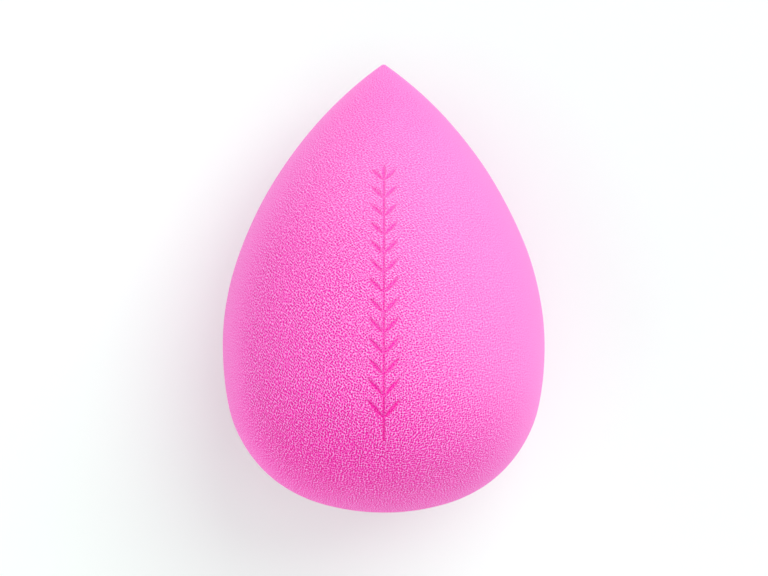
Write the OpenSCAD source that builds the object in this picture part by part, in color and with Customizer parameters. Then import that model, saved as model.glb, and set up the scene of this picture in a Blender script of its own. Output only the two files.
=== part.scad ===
// Teardrop makeup sponge, one piece of soft foam, lying on its side as it comes to rest.
// The tip points along +Y, +Z is up, and the origin is under the middle of its bounding box.
// The outline is a chain of five arcs, each tangent to the next, turned about the sponge's axis.
// A slope is the angle in degrees between the surface's normal and the plane across the axis.

/* [Sponge] */
// Length along the axis, from the round base to the tip
sponge_length = 61; // [50:0.5:75]
// Width across the widest ring
sponge_width = 43; // [34:0.5:52]
// Height of the widest ring above the base
widest_height = 22; // [17:0.5:26]
// Radius of the rounded tip
tip_radius = 0.55; // [0.3:0.05:3]

/* [Curves] */
// How many degrees more pointed the tip is than one arc from the widest ring would make it
tip_sharpness = 5.6; // [1:0.1:8]
// Slope where the belly's arc meets the flank's, above the widest ring
flank_slope = 20.6; // [16:0.1:26]
// Slope where the belly's arc meets the hip's, below the widest ring
hip_slope = 11.7; // [5:0.1:20]
// Slope where the hip's arc meets the base's
base_slope = 72.3; // [62:0.1:80]

/* [Rest] */
// Depth of the flat that the foam settles into where it lies
rest_flat_depth = 0.5; // [0.2:0.1:1]

/* [Sprig] */
// Height of the pressed sprig's foot above the base, along the axis
sprig_foot = 6.5; // [4:0.5:10]
// Length of the sprig along the axis
sprig_length = 37; // [24:0.5:40]
// Depth that the sprig is pressed into the foam
sprig_depth = 0.3; // [0.1:0.05:0.5]
// Pairs of leaves on the stem
leaf_pairs = 13; // [6:18]
// Length of the leaves nearest the foot
foot_leaf_length = 3.3; // [2:0.1:4]
// Length of the single leaf at the end
end_leaf_length = 2.4; // [1.5:0.1:4]
// Width of a leaf across its middle
leaf_width = 0.5; // [0.3:0.05:0.8]
// Angle between a leaf and the stem, in degrees
leaf_angle = 42; // [25:60]
// Width of the stem
stem_width = 0.28; // [0.16:0.02:0.5]

/* [Hidden] */

// Greatest gap between an arc of the outline and the chords drawn for it
outline_gap = 0.005;
// Facets round the axis and round a leaf's circles
facet_count = 180;
// Slices of each arc in the sum that finds the balance point
slice_count = 40;

// The pair x, y for which a x + b y = e and c x + d y = f
function solved(a, b, c, d, e, f) = [e * d - b * f, a * f - e * c] / (a * d - b * c);

// Slope where the flank's arc meets the rounded tip
tip_slope = 2 * atan2(sponge_width / 2, sponge_length - widest_height) - tip_sharpness;

// Radii of the two arcs above the widest ring, the belly's and the flank's
upper_radii = solved(
    1 - cos(flank_slope), cos(flank_slope) - cos(tip_slope),
    sin(flank_slope), sin(tip_slope) - sin(flank_slope),
    sponge_width / 2 - tip_radius * cos(tip_slope),
    sponge_length - widest_height - tip_radius * (1 - sin(tip_slope)));
belly_radius = upper_radii[0];
flank_radius = upper_radii[1];

// Radii of the two arcs below it, the hip's and the base's
lower_radii = solved(
    cos(hip_slope) - cos(base_slope), cos(base_slope),
    sin(base_slope) - sin(hip_slope), 1 - sin(base_slope),
    sponge_width / 2 - belly_radius * (1 - cos(hip_slope)),
    widest_height - belly_radius * sin(hip_slope));
hip_radius = lower_radii[0];
base_radius = lower_radii[1];

function normal(slope) = [cos(slope), sin(slope)];
// Each arc's centre lies on the normal that the arc shares with the one before it
base_centre = [0, base_radius];
hip_centre = base_centre + (base_radius - hip_radius) * normal(-base_slope);
belly_centre = hip_centre + (hip_radius - belly_radius) * normal(-hip_slope);
flank_centre = belly_centre + (belly_radius - flank_radius) * normal(flank_slope);
tip_centre = flank_centre + (flank_radius - tip_radius) * normal(tip_slope);
// The chain from the base to the tip: centre, radius and the slopes at both ends, split at the widest ring
arcs = [
    [base_centre, base_radius, -90, -base_slope],
    [hip_centre, hip_radius, -base_slope, -hip_slope],
    [belly_centre, belly_radius, -hip_slope, 0],
    [belly_centre, belly_radius, 0, flank_slope],
    [flank_centre, flank_radius, flank_slope, tip_slope],
    [tip_centre, tip_radius, tip_slope, 90]];

// The point of an arc with this slope, as its distance from the axis and its height, sunk by depth
function arc_point(arc, slope, depth = 0) = arc[0] + (arc[1] - depth) * normal(slope);

// The slices that each arc cuts from the sponge: their heights, and their volumes but for a common factor
slices = [for (arc = arcs, i = [1:slice_count])
    let (turn = arc[3] - arc[2], slope = arc[2] + turn * (i - 1 / 2) / slice_count)
    let (point = arc_point(arc, slope), thickness = arc[1] * cos(slope) * turn)
    [point[1], point[0] * point[0] * thickness]];
heights = [for (slice = slices) slice[0]];
volumes = [for (slice = slices) slice[1]];
balance_height = heights * volumes / (volumes * [for (volume = volumes) 1]);

// The sponge rolls on its belly, tip down, until its balance point is over the place it stands on
rest_tilt = atan2(balance_height - widest_height, belly_radius - sponge_width / 2);

// How far the sponge reaches from the middle of its base along a slope's normal
function reach(slope) = max([for (arc = arcs)
    if (arc[2] <= slope && slope <= arc[3]) arc_point(arc, slope) * normal(slope)]);
tip_reach = reach(90 - rest_tilt);
base_reach = reach(rest_tilt - 90);
floor_reach = reach(rest_tilt) - rest_flat_depth;

// Points along an arc after its first, close enough together to keep within the outline's gap
function arc_points(arc, depth) =
    let (turn = arc[3] - arc[2], steps = ceil(turn / (2 * acos(1 - outline_gap / arc[1]))))
    [for (i = [1:steps]) arc_point(arc, arc[2] + turn * i / steps, depth)];

// The foam without its flat, standing on its base, sunk all over by depth
module teardrop(depth = 0) {
    outline = [[0, depth], for (arc = arcs) each arc_points(arc, depth)];
    rotate_extrude($fn = facet_count) polygon([for (point = outline) [max(point[0], 0), point[1]]]);
}

// A pointed leaf, which is the lens where two circles overlap, with its foot at the origin
module leaf(length) {
    bend = (length * length + leaf_width * leaf_width) / (4 * leaf_width);
    translate([0, length / 2]) intersection_for (side = [-1, 1])
        translate([side * (bend - leaf_width / 2), 0]) circle(bend, $fn = facet_count);
}

// The sprig, with its foot at the origin and its stem up the y axis. Each leaf's foot lies inside the stem.
module sprig() {
    top_foot = sprig_length - end_leaf_length;
    translate([-stem_width / 2, 0]) square([stem_width, top_foot + stem_width]);
    for (k = [1:leaf_pairs]) {
        growth_share = k / leaf_pairs;
        length = foot_leaf_length + (end_leaf_length - foot_leaf_length) * growth_share;
        for (side = [-1, 1])
            translate([0, top_foot * growth_share]) rotate(side * leaf_angle) leaf(length);
    }
    translate([0, top_foot]) leaf(end_leaf_length);
}

// What the sprig presses out of the side that faces up at rest
module sprig_recess() {
    difference() {
        rotate([90, 0, 0]) linear_extrude(sponge_width) translate([0, sprig_foot]) sprig();
        teardrop(sprig_depth);
    }
}

// Lays what stands on the sponge's base down on the floor, under the middle of the sponge
module at_rest() {
    translate([0, (base_reach - tip_reach) / 2, floor_reach]) rotate([-90 - rest_tilt, 0, 0]) children();
}

module foam_body() {
    above_floor = 2 * [sponge_width, sponge_length, sponge_width];
    color("#f778d0") intersection() {
        at_rest() difference() {
            teardrop();
            sprig_recess();
        }
        translate([-above_floor[0] / 2, -above_floor[1] / 2, 0]) cube(above_floor);
    }
}

foam_body();
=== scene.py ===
"""Looks of a teardrop makeup sponge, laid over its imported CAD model.

The sponge is one piece of soft pink foam that lies on its side, with its tip along +Y and +Z up. Its
surface is a chain of tangent arcs turned about the sponge's axis, settled on the floor where it lies,
with a leaf sprig pressed into the side that faces up. Lengths are in metres and angles in radians
unless a name says otherwise.
"""

import logging
import math
from collections.abc import Mapping
from dataclasses import dataclass, field
from enum import Enum
from functools import cached_property
from typing import ClassVar

import bpy
import numpy as np
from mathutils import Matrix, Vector

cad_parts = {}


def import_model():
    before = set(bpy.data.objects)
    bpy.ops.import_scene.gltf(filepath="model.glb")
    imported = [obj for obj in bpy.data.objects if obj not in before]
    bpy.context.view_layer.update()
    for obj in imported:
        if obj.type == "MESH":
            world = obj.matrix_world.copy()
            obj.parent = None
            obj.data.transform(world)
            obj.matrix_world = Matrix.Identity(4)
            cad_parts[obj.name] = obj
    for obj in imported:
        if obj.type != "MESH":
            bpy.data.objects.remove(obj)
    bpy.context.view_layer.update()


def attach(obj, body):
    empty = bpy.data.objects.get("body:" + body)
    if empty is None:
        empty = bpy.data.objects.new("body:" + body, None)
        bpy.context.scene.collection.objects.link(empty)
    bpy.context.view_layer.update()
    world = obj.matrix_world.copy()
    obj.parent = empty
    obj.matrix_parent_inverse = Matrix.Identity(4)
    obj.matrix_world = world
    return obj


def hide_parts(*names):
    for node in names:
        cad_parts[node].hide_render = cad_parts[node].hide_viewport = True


LOG = logging.getLogger("makeup_sponge")
FOAM_NODE = "foam_body"
MM = 0.001
THIRDS_OF_A_TURN = 2 * math.pi / 3 * np.arange(3)

Colour = tuple[float, float, float]
WHITE: Colour = (1.0, 1.0, 1.0)


class Arithmetic(Enum):
    """What a Math node does with its two inputs."""

    PLUS = "ADD"
    LESS = "SUBTRACT"
    TIMES = "MULTIPLY"


class Socket:
    """A value that one node of a material gives out. Python's arithmetic on it adds Math nodes."""

    def __init__(self, graph: "Graph", link: bpy.types.NodeSocket) -> None:
        """Keeps the graph that the value belongs to and the node's output that gives it."""
        self.graph = graph
        self.link = link

    def _math(self, what: Arithmetic, first: "Socket | float", second: "Socket | float") -> "Socket":
        """Adds one Math node.

        Args:
            what: What it does.
            first: Its first input.
            second: Its second input.

        Returns:
            The node's result.
        """
        return self.graph.node("ShaderNodeMath", {"operation": what.value}, {0: first, 1: second})

    def __add__(self, other: "Socket | float") -> "Socket":
        """This value plus another."""
        return self._math(Arithmetic.PLUS, self, other)

    def __radd__(self, other: float) -> "Socket":
        """A number plus this value."""
        return self._math(Arithmetic.PLUS, other, self)

    def __sub__(self, other: "Socket | float") -> "Socket":
        """This value less another."""
        return self._math(Arithmetic.LESS, self, other)

    def __rsub__(self, other: float) -> "Socket":
        """A number less this value."""
        return self._math(Arithmetic.LESS, other, self)

    def __mul__(self, other: "Socket | float") -> "Socket":
        """This value times another."""
        return self._math(Arithmetic.TIMES, self, other)

    def __rmul__(self, other: float) -> "Socket":
        """A number times this value."""
        return self._math(Arithmetic.TIMES, other, self)

    def within(self) -> "Socket":
        """This value, held between 0 and 1."""
        return self.graph.node("ShaderNodeClamp", inputs={"Value": self})

    def rise(self, low: float, high: float, bottom: float = 0.0, top: float = 1.0) -> "Socket":
        """A smooth step from bottom, where this value is low, to top, where it is high.

        Args:
            low: The value at which the step starts.
            high: The value at which it ends.
            bottom: What it gives before its start.
            top: What it gives after its end.

        Returns:
            The stepped value.
        """
        return self.graph.node(
            "ShaderNodeMapRange",
            {"interpolation_type": "SMOOTHSTEP"},
            {"Value": self, "From Min": low, "From Max": high, "To Min": bottom, "To Max": top},
        )


class Graph:
    """The nodes of one material or of the world, empty at the start."""

    # The places of the two colours among a Mix node's inputs, and of the mixed colour among its outputs.
    MIX_FIRST, MIX_SECOND, MIX_RESULT = 6, 7, 2

    def __init__(self, owner: bpy.types.Material | bpy.types.World) -> None:
        """Gives a material or the world an empty set of nodes."""
        owner.use_nodes = True
        self.tree = owner.node_tree
        self.tree.nodes.clear()

    def node(
        self,
        kind: str,
        settings: Mapping[str, object] | None = None,
        inputs: Mapping[str | int, object] | None = None,
        output: str | int = 0,
    ) -> Socket:
        """Adds one node.

        Args:
            kind: The node's type.
            settings: Its settings, which are set first.
            inputs: A value or a Socket for each of its inputs that isn't left alone.
            output: Which of its outputs to give back.

        Returns:
            That output.
        """
        made = self.tree.nodes.new(kind)
        for name, setting in (settings or {}).items():
            setattr(made, name, setting)
        for name, value in (inputs or {}).items():
            if isinstance(value, Socket):
                self.tree.links.new(value.link, made.inputs[name])
            else:
                made.inputs[name].default_value = value
        return Socket(self, made.outputs[output])

    def mix(self, share: Socket, first: Colour | Socket, second: Colour | Socket) -> Socket:
        """The first colour where share is 0, the second where it is 1, and a mixture in between."""
        first, second = (c if isinstance(c, Socket) else (*c, 1.0) for c in (first, second))
        return self.node(
            "ShaderNodeMix",
            {"data_type": "RGBA"},
            {0: share, self.MIX_FIRST: first, self.MIX_SECOND: second},
            self.MIX_RESULT,
        )

    def finish(self, kind: str, shader: Socket) -> None:
        """Links a shader to a new output node.

        Args:
            kind: The output node's type.
            shader: What it shows.
        """
        output = self.tree.nodes.new(kind)
        self.tree.links.new(shader.link, output.inputs["Surface"])


def seen_directly(graph: Graph) -> Socket:
    """1 on rays from the camera, in gloss and through glass, and 0 on the rays that light the sponge."""
    camera, glossy, through = (
        graph.node("ShaderNodeLightPath", output=f"Is {kind} Ray")
        for kind in ("Camera", "Glossy", "Transmission")
    )
    return (camera + glossy + through).within()


@dataclass(frozen=True)
class Arc:
    """One arc of the outline.

    A slope is how far the outline's normal is turned up from the plane across the sponge's axis, towards
    the tip. It is a quarter turn down at the base and a quarter turn up at the tip.
    """

    centre: np.ndarray
    radius: float
    start: float
    end: float

    @property
    def length(self) -> float:
        """How far the outline runs along this arc."""
        return self.radius * (self.end - self.start)

    def points(self, slopes: np.ndarray) -> np.ndarray:
        """The points of the arc with these slopes, as rows of distance from the axis and height."""
        return self.centre + self.radius * np.stack([np.cos(slopes), np.sin(slopes)], axis=-1)


@dataclass(frozen=True)
class Outline:
    """The sponge's outline from the middle of its base to its tip, with the sizes that part.scad names."""

    length: float = 61 * MM
    width: float = 43 * MM
    widest_height: float = 22 * MM
    tip_radius: float = 0.55 * MM
    tip_sharpness: float = math.radians(5.6)
    flank_slope: float = math.radians(20.6)
    hip_slope: float = math.radians(11.7)
    base_slope: float = math.radians(72.3)
    walk_points: int = 4000

    @cached_property
    def arcs(self) -> list[Arc]:
        """The five arcs from base to tip.

        The belly's radius and the flank's bring the chain from the widest ring up to the rounded tip, and
        the hip's and the base's bring it down to the middle of the base, square to the axis.
        """
        half = self.width / 2
        tip_slope = 2 * math.atan2(half, self.length - self.widest_height) - self.tip_sharpness
        cos_flank, sin_flank = math.cos(self.flank_slope), math.sin(self.flank_slope)
        cos_tip, sin_tip = math.cos(tip_slope), math.sin(tip_slope)
        cos_hip, sin_hip = math.cos(self.hip_slope), math.sin(self.hip_slope)
        cos_base, sin_base = math.cos(self.base_slope), math.sin(self.base_slope)
        belly, flank = np.linalg.solve(
            [[1 - cos_flank, cos_flank - cos_tip], [sin_flank, sin_tip - sin_flank]],
            [
                half - self.tip_radius * cos_tip,
                self.length - self.widest_height - self.tip_radius * (1 - sin_tip),
            ],
        )
        hip, base = np.linalg.solve(
            [[cos_hip - cos_base, cos_base], [sin_base - sin_hip, 1 - sin_base]],
            [half - belly * (1 - cos_hip), self.widest_height - belly * sin_hip],
        )
        radii = [base, hip, belly, flank, self.tip_radius]
        joints = [-self.base_slope, -self.hip_slope, self.flank_slope, tip_slope]
        starts, ends = [-math.pi / 2, *joints], [*joints, math.pi / 2]
        centres = [np.array([0.0, base])]
        for slope, before, after in zip(joints, radii, radii[1:]):
            normal = np.array([math.cos(slope), math.sin(slope)])
            centres.append(centres[-1] + (before - after) * normal)
        return [Arc(*fields) for fields in zip(centres, radii, starts, ends)]

    @property
    def run(self) -> float:
        """How long the outline is, from the middle of the base to the tip."""
        return sum(arc.length for arc in self.arcs)

    def at(self, runs: np.ndarray) -> tuple[np.ndarray, np.ndarray]:
        """Walks along the outline.

        Args:
            runs: Distances along it from the middle of the base.

        Returns:
            Rows of distance from the axis and height above the base, and the slope at each.
        """
        ends = np.cumsum([arc.length for arc in self.arcs])
        chosen = np.minimum(np.searchsorted(ends, runs), len(self.arcs) - 1)
        points, slopes = np.zeros((len(runs), 2)), np.zeros(len(runs))
        for index, arc in enumerate(self.arcs):
            on_arc = chosen == index
            slopes[on_arc] = arc.end - (ends[index] - runs[on_arc]) / arc.radius
            points[on_arc] = arc.points(slopes[on_arc])
        return points, slopes

    @cached_property
    def walk(self) -> tuple[np.ndarray, np.ndarray]:
        """Many even steps along the whole outline: how far along each is, and its point."""
        runs = np.linspace(0, self.run, self.walk_points)
        return runs, self.at(runs)[0]

    def run_at_height(self, height: float) -> float:
        """How far along the outline it reaches this height above the base."""
        runs, points = self.walk
        return float(np.interp(height, points[:, 1], runs))


@dataclass(frozen=True)
class Rest:
    """How the sponge lies: on its belly, tip down until it balances, and settled into a small flat."""

    outline: Outline
    flat_depth: float = 0.5 * MM
    edge_softness: float = 0.12 * MM

    @cached_property
    def tilt(self) -> float:
        """How far the axis dips, which brings the balance point over the place that it stands on."""
        _, points = self.outline.walk
        distance, height = (points[1:] + points[:-1]).T / 2
        volumes = distance**2 * np.diff(points[:, 1])
        balance = (volumes @ height) / volumes.sum()
        belly = self.outline.arcs[2]
        return math.atan2(balance - self.outline.widest_height, belly.radius - self.outline.width / 2)

    def reach(self, slope: float) -> float:
        """How far the sponge reaches from the middle of its base along the normal with this slope."""
        _, points = self.outline.walk
        return float(np.max(points @ [math.cos(slope), math.sin(slope)]))

    def lay(self, across: np.ndarray, upward: np.ndarray, height: np.ndarray) -> np.ndarray:
        """Puts points of the standing sponge where they are at rest.

        The axis turns down by the tilt, the lowest place sinks by the flat's depth, and the sponge's
        middle comes over the origin. A height z above the floor then becomes the mean of z and
        hypot(z, e), where e is the edge's softness. That is z well above the floor, never below the floor,
        and turns smoothly in between.

        Args:
            across: Distances from the axis along x.
            upward: Distances from the axis towards the side that faces up.
            height: Heights above the base, along the axis.

        Returns:
            The points, one row each.
        """
        shift_y = (self.reach(self.tilt - math.pi / 2) - self.reach(math.pi / 2 - self.tilt)) / 2
        shift_z = self.reach(self.tilt) - self.flat_depth
        y = shift_y + height * math.cos(self.tilt) + upward * math.sin(self.tilt)
        z = shift_z - height * math.sin(self.tilt) + upward * math.cos(self.tilt)
        z = (z + np.hypot(z, self.edge_softness)) / 2
        return np.stack([across + 0 * z, y, z], axis=-1)


@dataclass(frozen=True)
class Sprig:
    """The leaf sprig pressed into the foam: a stem with pairs of slender leaves, and one at its end."""

    foot: float = 6.5 * MM
    length: float = 37 * MM
    depth: float = 0.3 * MM
    leaf_pairs: int = 13
    foot_leaf: float = 3.3 * MM
    end_leaf: float = 2.4 * MM
    leaf_width: float = 0.5 * MM
    leaf_angle: float = math.radians(42)
    stem_width: float = 0.28 * MM
    edge_softness: float = 0.11 * MM

    def _leaf(self, across: np.ndarray, along: np.ndarray, turn: float, length: float) -> np.ndarray:
        """How far points lie outside one leaf, the lens where two circles overlap.

        Args:
            across: Distances from the stem's line.
            along: Distances past the leaf's foot, along the stem.
            turn: How far the leaf leans to the left of the stem.
            length: Its length.

        Returns:
            For each point, the larger of its distances outside the two circles, below 0 inside the leaf.
        """
        side = across * math.cos(turn) + along * math.sin(turn)
        out = along * math.cos(turn) - across * math.sin(turn)
        bend = (length**2 + self.leaf_width**2) / (4 * self.leaf_width)
        offset = bend - self.leaf_width / 2
        return np.hypot(np.abs(side) + offset, out - length / 2) - bend

    def pressed(self, across: np.ndarray, height: np.ndarray) -> np.ndarray:
        """How deep the foam is pressed, as a share of the sprig's depth.

        The distance outside the nearest leaf or the stem, below 0 inside them, becomes a smooth step. It
        is 1 from one softness inside the edge, and 0 from one softness outside it.

        Args:
            across: Distances from the stem's line.
            height: Heights above the base, along the axis.

        Returns:
            The share at each point.
        """
        along = height - self.foot
        top_foot = self.length - self.end_leaf
        beside_stem = np.abs(across) - self.stem_width / 2
        past_stem = np.abs(along - top_foot / 2) - top_foot / 2
        nearest = np.maximum(beside_stem, past_stem)
        nearest = np.minimum(nearest, self._leaf(across, along - top_foot, 0.0, self.end_leaf))
        for share in np.arange(1, self.leaf_pairs + 1) / self.leaf_pairs:
            length = self.foot_leaf + (self.end_leaf - self.foot_leaf) * share
            for turn in (-self.leaf_angle, self.leaf_angle):
                leaf = self._leaf(across, along - top_foot * share, turn, length)
                nearest = np.minimum(nearest, leaf)
        step = np.clip((self.edge_softness - nearest) / (2 * self.edge_softness), 0, 1)
        return step * step * (3 - 2 * step)


def graded(stops: Mapping[float, float], samples: int = 20000) -> np.ndarray:
    """Stations from the first stop to the last, as far apart as the stops say.

    The spacing runs straight from stop to stop. The integral of one over the spacing counts the stations
    passed so far, and a station stands wherever that count, stretched to end on a whole number, is whole.

    Args:
        stops: For each stop, in order, the spacing there.
        samples: At how many places the spacing is summed.

    Returns:
        The stations.
    """
    places = np.linspace(min(stops), max(stops), samples)
    spacing = np.interp(places, list(stops), list(stops.values()))
    steps = np.diff(places) * (1 / spacing[1:] + 1 / spacing[:-1]) / 2
    count = np.concatenate([[0.0], np.cumsum(steps)])
    whole = math.ceil(count[-1])
    return np.interp(np.arange(whole + 1), count * whole / count[-1], places)


@dataclass(frozen=True)
class FoamFinish:
    """Fine-pored pink foam: a pale skin with deeper pink pores, matt, with a soft sheen at the rims.

    A share is of pore colour. The broad share is painted shade: deeper pink on the flank away from the
    key light and towards both ends, and fading towards the lit flank. pale_share is how much of it is left
    on the rims, which come out paler as a painted rim light. A contrast multiplies the grain, whose fade
    towards the lit flank is painted pore shade. A side is where a change starts and ends: in metres
    along the sponge for base_side and tip_side, in metres along the way from the shaded flank to the lit
    one for the flank's two sides, and in how level the surface is, from 0 to 1, for rim_side and
    pale_side.
    """

    name: str = "foam"
    skin: Colour = (0.96, 0.26, 0.70)
    crest: Colour = (0.99, 0.47, 0.92)
    pore: Colour = (0.90, 0.015, 0.44)
    deep: Colour = (0.80, 0.0, 0.30)
    cell_size: float = 0.24 * MM
    cell_flatness: float = 0.65
    grain_step: float = 0.21 * MM
    grain_turn: float = math.radians(15)
    grain_contrast: float = 3.0
    speck_size: float = 0.30 * MM
    speck_core: tuple[float, float] = (0.25, 0.40)
    speck_strength: float = 0.17
    relief: float = 0.13 * MM
    mottle_size: float = 7 * MM
    mottle_detail: float = 2.0
    mottle_middle: float = 0.5
    mottle_shift: float = 5 * MM
    # Painted shade: the pore share and the grain's contrast fall along this way, from the flank away from
    # the key light to the lit one.
    lit_way: tuple[float, float] = (0.9, 0.43)
    shaded_side: tuple[float, float] = (-22 * MM, 20 * MM)
    shaded_share: float = 0.57
    # Painted shade: more pore colour and stronger grain towards the base, away from the key light.
    base_side: tuple[float, float] = (-26 * MM, -8 * MM)
    base_shade_share: float = 0.30
    base_contrast: float = 1.45
    # Painted shade: a little more pore colour towards the tip.
    tip_side: tuple[float, float] = (15 * MM, 27 * MM)
    tip_shade_share: float = 0.14
    # Painted pore shade: the grain fades towards the lit flank, where light washes out the pores' shadows.
    pore_shade_side: tuple[float, float] = (-14 * MM, 22 * MM)
    lit_contrast: float = 0.22
    deep_share: float = 1.7
    end_turn: float = 0.8
    rim_side: tuple[float, float] = (0.12, 0.42)
    rim_contrast: float = 0.35
    # Painted rim light: the rims keep only this much of the painted shade, so they come out paler.
    pale_side: tuple[float, float] = (0.01, 0.52)
    pale_share: float = 0.42
    crest_share: float = 0.5
    # The sprig's floor is deeper pink: the colour of pressed foam, and painted shade in the groove.
    pressed_core: float = 0.4
    pressed_share: float = 0.28
    pressed_growth: float = 0.6
    pressed_contrast: float = 0.5
    roughness: float = 0.85
    specular: float = 0.12
    sheen: float = 0.40
    sheen_roughness: float = 0.5
    sheen_tint: Colour = (1.0, 0.5, 0.85)

    def _grain(self, graph: Graph, place: Socket, facing: Socket) -> Socket:
        """The foam's grain: how near a place is to the middle of its cell, less the mean of that round it.

        The mean is over six points: the place plus and less the surface's normal crossed with each of
        three axes square to each other, which all lean alike from straight up. So the points lie along
        the surface whichever way it faces, and in an even ring where it faces up. Swings slower than the
        cells cancel there. Specks add to that: the cores of other, larger cells.

        Args:
            graph: The foam's nodes.
            place: Where the grain is wanted.
            facing: The surface's normal there.

        Returns:
            The grain, which is near 0 on average and peaks in the middle of each cell.
        """

        def vector(operation: str, first: Socket, second: Socket | Colour) -> Socket:
            """Adds one Vector Math node."""
            return graph.node("ShaderNodeVectorMath", {"operation": operation}, {0: first, 1: second})

        def cells(at: Socket, size: float) -> Socket:
            """How far a place is from the middle of its cell. The cells are a little taller than wide."""
            at = vector("MULTIPLY", at, (1.0, 1.0, self.cell_flatness))
            return graph.node("ShaderNodeTexVoronoi", inputs={"Vector": at, "Scale": 1 / size})

        turns = self.grain_turn + THIRDS_OF_A_TURN
        level, upright = math.sqrt(2 / 3), math.sqrt(1 / 3)
        axes = np.stack([level * np.cos(turns), level * np.sin(turns), np.full(3, upright)], axis=-1)
        ways = self.grain_step * np.concatenate([axes, -axes])
        grain = cells(place, self.speck_size).rise(*self.speck_core, self.speck_strength, 0.0)
        for way in ways.tolist():
            beside = vector("ADD", place, vector("CROSS_PRODUCT", facing, way))
            grain = grain + cells(beside, self.cell_size) * (1 / len(ways))
        return grain - cells(place, self.cell_size)

    def material(self) -> bpy.types.Material:
        """Builds the foam's nodes.

        A share of pore colour lies under everything. It is painted shade: greatest on the flank away from
        the key light, fading towards the lit flank, growing a little towards both ends, and less on the
        rims, where the surface is steep, which makes them paler as a painted rim light. The grain swings
        it: less on the lit flank, where its painted pore shade fades, on the rims and in the sprig, and
        more near the base, away from the key light. The sprig's floor adds to it, as the deeper colour of
        pressed foam and as painted shade in the groove. The share mixes skin with pore. Below 0 it turns
        into the pale crests between the pores, and above 1 into the deep colour in their middles.

        Returns:
            The material.
        """
        material = bpy.data.materials.new(self.name)
        graph = Graph(material)
        place = graph.node("ShaderNodeTexCoord", output="Object")
        facing = graph.node("ShaderNodeTexCoord", output="Normal")
        x, y = (
            graph.node("ShaderNodeSeparateXYZ", inputs={"Vector": place}, output=axis) for axis in "XY"
        )
        across, tipward = (
            graph.node("ShaderNodeSeparateXYZ", inputs={"Vector": facing}, output=axis) for axis in "XY"
        )
        level = 1.0 - across * across - tipward * tipward * self.end_turn
        mottle = graph.node(
            "ShaderNodeTexNoise",
            inputs={"Vector": place, "Scale": 1 / self.mottle_size, "Detail": self.mottle_detail},
        )
        pressed = graph.node("ShaderNodeAttribute", {"attribute_name": "pressed"}, output="Fac")
        # Painted shade: deeper pink away from the key light and towards both ends, less on the rims.
        along = self.lit_way[0] * x + self.lit_way[1] * y
        along = along + (mottle - self.mottle_middle) * self.mottle_shift
        baseward = y.rise(*self.base_side, 1.0, 0.0)
        painted_shade = along.rise(*self.shaded_side, self.shaded_share, 0.0)
        painted_shade = painted_shade + baseward * self.base_shade_share + y.rise(*self.tip_side, 0.0, self.tip_shade_share)
        painted_shade = painted_shade * level.rise(*self.pale_side, self.pale_share, 1.0)
        # Painted pore shade: the grain fades towards the lit flank.
        fade = along.rise(*self.pore_shade_side, 1.0, self.lit_contrast)
        fade = fade * level.rise(*self.rim_side, self.rim_contrast, 1.0)
        grain = self._grain(graph, place, facing) * fade * (1.0 - pressed * (1.0 - self.pressed_contrast))
        swing = grain * (1.0 + baseward * (self.base_contrast - 1.0)) * self.grain_contrast
        groove = self.pressed_share + painted_shade * self.pressed_growth
        share = painted_shade + swing + pressed.rise(self.pressed_core, 1.0) * groove
        colour = graph.mix(share.rise(-self.crest_share, 0.0, 1.0, 0.0), self.skin, self.crest)
        colour = graph.mix(share.within(), colour, self.pore)
        colour = graph.mix(share.rise(1.0, self.deep_share), colour, self.deep)
        normal = graph.node(
            "ShaderNodeBump", inputs={"Strength": 1.0, "Distance": self.relief, "Height": grain * -1.0}
        )
        shader = graph.node(
            "ShaderNodeBsdfPrincipled",
            inputs={
                "Base Color": colour,
                "Roughness": self.roughness,
                "Normal": normal,
                "Specular IOR Level": self.specular,
                "Sheen Weight": self.sheen,
                "Sheen Roughness": self.sheen_roughness,
                "Sheen Tint": (*self.sheen_tint, 1.0),
            },
        )
        graph.finish("ShaderNodeOutputMaterial", shader)
        return material


@dataclass(frozen=True)
class FloorFinish:
    """Matt white studio card. To the camera it glows a little, so that the shadow on it stays faint."""

    name: str = "white_card"
    card: Colour = (0.90, 0.90, 0.90)
    seen_card: Colour = (0.865, 0.955, 0.915)
    glow: float = 0.20

    def material(self) -> bpy.types.Material:
        """Builds the card's nodes: plain card to the light, and card mixed with white glow to the camera.

        Returns:
            The material.
        """
        material = bpy.data.materials.new(self.name)
        graph = Graph(material)
        card = graph.node("ShaderNodeBsdfDiffuse", inputs={"Color": (*self.card, 1.0)})
        seen = graph.node("ShaderNodeBsdfDiffuse", inputs={"Color": (*self.seen_card, 1.0)})
        glow = graph.node("ShaderNodeEmission", inputs={"Color": (*WHITE, 1.0)})
        seen = graph.node("ShaderNodeMixShader", inputs={0: self.glow, 1: seen, 2: glow})
        shader = graph.node("ShaderNodeMixShader", inputs={0: seen_directly(graph), 1: card, 2: seen})
        graph.finish("ShaderNodeOutputMaterial", shader)
        return material


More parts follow.
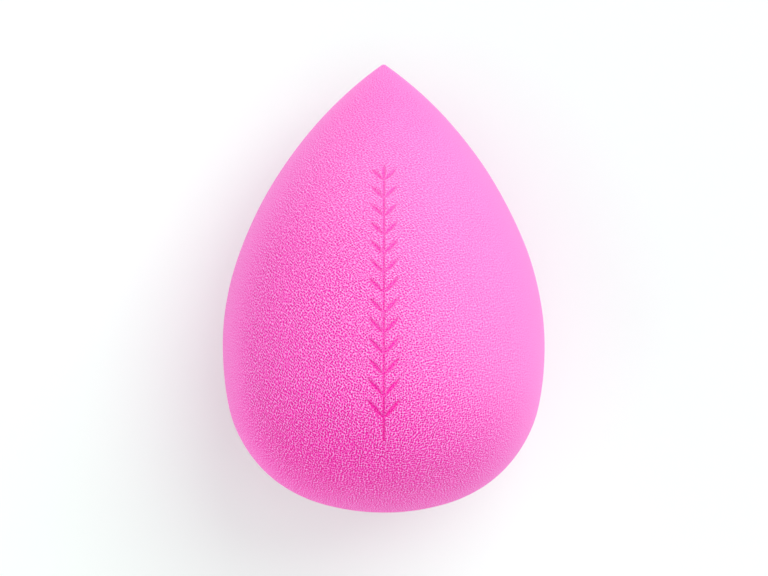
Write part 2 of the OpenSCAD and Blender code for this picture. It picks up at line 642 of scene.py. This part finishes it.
@dataclass
class SpongeBody:
    """The whole sponge, one piece of moulded foam."""

    outline: Outline = field(default_factory=Outline)
    sprig: Sprig = field(default_factory=Sprig)
    finish: FoamFinish = field(default_factory=FoamFinish)
    fill: float = 0.9
    fine_spacing: float = 0.11 * MM
    coarse_spacing: float = 0.5 * MM
    side_spacing: float = 0.86 * MM
    tip_spacing: float = 0.06 * MM
    strip_half_width: float = 2.8 * MM
    strip_margin: float = 0.4 * MM
    strip_blend: float = 1 * MM
    tip_run: float = 0.6 * MM
    tip_blend: float = 3 * MM
    unevenness: float = 0.03 * MM

    # The slow waves of the unevenness: which way each runs, with its pace in radians a millimetre, and
    # where it stands at the origin.
    WAVES: ClassVar[tuple[tuple[float, ...], ...]] = (
        (0.41, 0.23, 0.33),
        (-0.29, 0.37, 0.47),
        (0.17, -0.53, 0.31),
    )
    PHASES: ClassVar[tuple[float, ...]] = (0.4, 2.1, 4.0)

    def _runs(self) -> np.ndarray:
        """The rings' places along the outline: close together on the sprig and at the rounded tip."""
        foot = self.outline.run_at_height(self.sprig.foot) - self.strip_margin
        end = self.outline.run_at_height(self.sprig.foot + self.sprig.length) + self.strip_margin
        run = self.outline.run
        return graded({
            0.0: self.coarse_spacing,
            foot - self.strip_blend: self.coarse_spacing,
            foot: self.fine_spacing,
            end: self.fine_spacing,
            end + self.strip_blend: self.coarse_spacing,
            run - self.tip_run - self.tip_blend: self.coarse_spacing,
            run - self.tip_run: self.tip_spacing,
            run: self.tip_spacing,
        })

    def _turns(self) -> np.ndarray:
        """The columns' angles round the axis from the side that faces up: close together on the sprig."""
        half = self.outline.width / 2
        strip = self.strip_half_width / half
        right = graded({
            0.0: self.fine_spacing / half,
            strip: self.fine_spacing / half,
            2 * strip: self.side_spacing / half,
            math.pi: self.side_spacing / half,
        })
        return np.concatenate([right, -right[-2:0:-1]])

    def _uneven(self, points: np.ndarray) -> np.ndarray:
        """The slight unevenness of moulded foam: the slow waves, averaged.

        Args:
            points: Rows of x, y and z.

        Returns:
            How far each point stands out.
        """
        waves = np.array(self.WAVES) / MM
        return self.unevenness * np.sin(points @ waves.T + np.array(self.PHASES)).mean(axis=-1)

    def surface(self) -> tuple[np.ndarray, np.ndarray]:
        """The sponge's skin as a grid of rings and columns.

        A ring is the circle that a point of the outline makes about the axis. Each of its points sinks
        along the surface's normal by the sprig's depth where the sprig is pressed in, and stands out by
        the unevenness. Then all are laid at rest.

        Returns:
            The points, ring by ring, and how deep each is pressed, from 0 to 1.
        """
        points, slopes = self.outline.at(self._runs()[1:-1])
        turns = self._turns()
        distance, height = points[:, 0, None], points[:, 1, None] + 0 * turns
        out, up = np.cos(slopes)[:, None], np.sin(slopes)[:, None]
        pressed = self.sprig.pressed(distance * np.sin(turns), height)
        pressed = np.where(np.cos(turns) > 0, pressed, 0.0)
        standing = np.stack([distance * np.sin(turns), distance * np.cos(turns), height], axis=-1)
        rise = self._uneven(standing) - self.sprig.depth * pressed
        radial = distance + rise * out
        rest = Rest(self.outline)
        laid = rest.lay(radial * np.sin(turns), radial * np.cos(turns), height + rise * up)
        return laid, pressed

    def build(self) -> bpy.types.Object:
        """Makes the foam's mesh: quads between the rings, and a fan of triangles at each end.

        Returns:
            The sponge's object, dressed in its finish.
        """
        laid, pressed = self.surface()
        rings, columns = pressed.shape
        rest = Rest(self.outline)
        poles = rest.lay(np.zeros(2), np.zeros(2), np.array([0.0, self.outline.length]))
        vertices = np.concatenate([laid.reshape(-1, 3), poles])
        index = np.arange(rings * columns).reshape(rings, columns)
        after = np.roll(index, -1, axis=1)
        quads = np.stack([index[:-1], after[:-1], after[1:], index[1:]], axis=-1).reshape(-1, 4)
        base, tip = rings * columns, rings * columns + 1
        fans = [
            np.stack([0 * index[0] + base, after[0], index[0]], axis=-1),
            np.stack([0 * index[-1] + tip, index[-1], after[-1]], axis=-1),
        ]
        faces = quads.tolist() + np.concatenate(fans).tolist()
        mesh = bpy.data.meshes.new("sponge_foam")
        mesh.from_pydata(vertices.tolist(), [], faces)
        mesh.polygons.foreach_set("use_smooth", np.ones(len(faces), bool))
        attribute = mesh.attributes.new("pressed", "FLOAT", "POINT")
        attribute.data.foreach_set("value", np.append(pressed.ravel(), [0.0, 0.0]).astype(np.float32))
        mesh.materials.append(self.finish.material())
        mesh.validate()
        sponge = bpy.data.objects.new("sponge_foam", mesh)
        bpy.context.scene.collection.objects.link(sponge)
        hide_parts(FOAM_NODE)
        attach(sponge, "root")
        return sponge


@dataclass(frozen=True)
class Softbox:
    """A broad lamp a long way off, so that it lights the whole floor alike."""

    name: str
    azimuth: float
    elevation: float
    strength: float
    spread: float

    def build(self) -> None:
        """Makes a sun lamp. Its azimuth runs from +X to +Y, and its spread is the angle that it fills."""
        lamp = bpy.data.lights.new(self.name, "SUN")
        lamp.energy = self.strength
        lamp.angle = self.spread
        lamp_object = bpy.data.objects.new(self.name, lamp)
        bpy.context.scene.collection.objects.link(lamp_object)
        flat = math.cos(self.elevation)
        towards = Vector((
            flat * math.cos(self.azimuth),
            flat * math.sin(self.azimuth),
            math.sin(self.elevation),
        ))
        lamp_object.rotation_euler = towards.to_track_quat("Z", "Y").to_euler()
        lamp_object.location = towards


@dataclass
class Studio:
    """The white floor, the soft lamps, the pale surround and the camera straight above the sponge.

    The surround looks as bright as background says, and gives as much light as ambient says.
    """

    floor_radius: float = 6.0
    floor_sides: int = 96
    background: float = 1.0
    ambient: float = 0.43
    # Each lamp's name, azimuth, elevation, strength and spread.
    softboxes: tuple[Softbox, ...] = (
        Softbox("key_softbox", math.radians(52), math.radians(45), 0.50 * math.pi, math.radians(50)),
        Softbox("top_softbox", math.radians(-20), math.radians(76), 0.18 * math.pi, math.radians(50)),
        Softbox("left_softbox", math.radians(180), math.radians(22), 0.25 * math.pi, math.radians(80)),
        Softbox("near_softbox", math.radians(255), math.radians(22), 0.24 * math.pi, math.radians(80)),
    )
    eye: tuple[float, float, float] = (0.04 * MM, -0.13 * MM, 520.66 * MM)
    focal_length_mm: float = 175.06
    sensor_width_mm: float = 36.0
    clip_start: float = 0.01
    clip_end: float = 100.0

    def build_floor(self) -> None:
        """Makes the floor, a flat disc under the sponge."""
        turns = np.arange(self.floor_sides) * (2 * math.pi / self.floor_sides)
        rim = self.floor_radius * np.stack([np.cos(turns), np.sin(turns), 0 * turns], axis=-1)
        mesh = bpy.data.meshes.new("floor")
        mesh.from_pydata(rim.tolist(), [], [list(range(self.floor_sides))])
        mesh.materials.append(FloorFinish().material())
        floor = bpy.data.objects.new("floor", mesh)
        bpy.context.scene.collection.objects.link(floor)

    def build_surround(self) -> None:
        """Makes the world: an even white light, seen as the same white as the floor."""
        world = bpy.data.worlds.new("surround")
        bpy.context.scene.world = world
        graph = Graph(world)
        light, seen = (
            graph.node("ShaderNodeBackground", inputs={"Color": (*WHITE, 1.0), "Strength": strength})
            for strength in (self.ambient, self.background)
        )
        mixed = graph.node("ShaderNodeMixShader", inputs={0: seen_directly(graph), 1: light, 2: seen})
        graph.finish("ShaderNodeOutputWorld", mixed)

    def build_camera(self) -> None:
        """Makes the camera, which looks straight down with +Y up in the picture."""
        camera = bpy.data.cameras.new("camera")
        camera.lens = self.focal_length_mm
        camera.sensor_width = self.sensor_width_mm
        camera.clip_start, camera.clip_end = self.clip_start, self.clip_end
        camera_object = bpy.data.objects.new("camera", camera)
        camera_object.location = self.eye
        bpy.context.scene.collection.objects.link(camera_object)
        bpy.context.scene.camera = camera_object

    def build(self) -> None:
        """Makes everything round the sponge."""
        self.build_camera()
        self.build_floor()
        self.build_surround()
        for softbox in self.softboxes:
            softbox.build()
        bpy.context.scene.view_settings.view_transform = "Standard"


def main() -> None:
    """Loads the frame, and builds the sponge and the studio."""
    logging.basicConfig(level=logging.INFO, format="%(name)s: %(message)s")
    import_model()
    sponge = SpongeBody().build()
    mesh = sponge.data
    LOG.info("%s: %d vertices, %d faces", sponge.name, len(mesh.vertices), len(mesh.polygons))
    Studio().build()
    LOG.info("studio: floor, surround, camera and lamps")


if __name__ == "__main__":
    main()
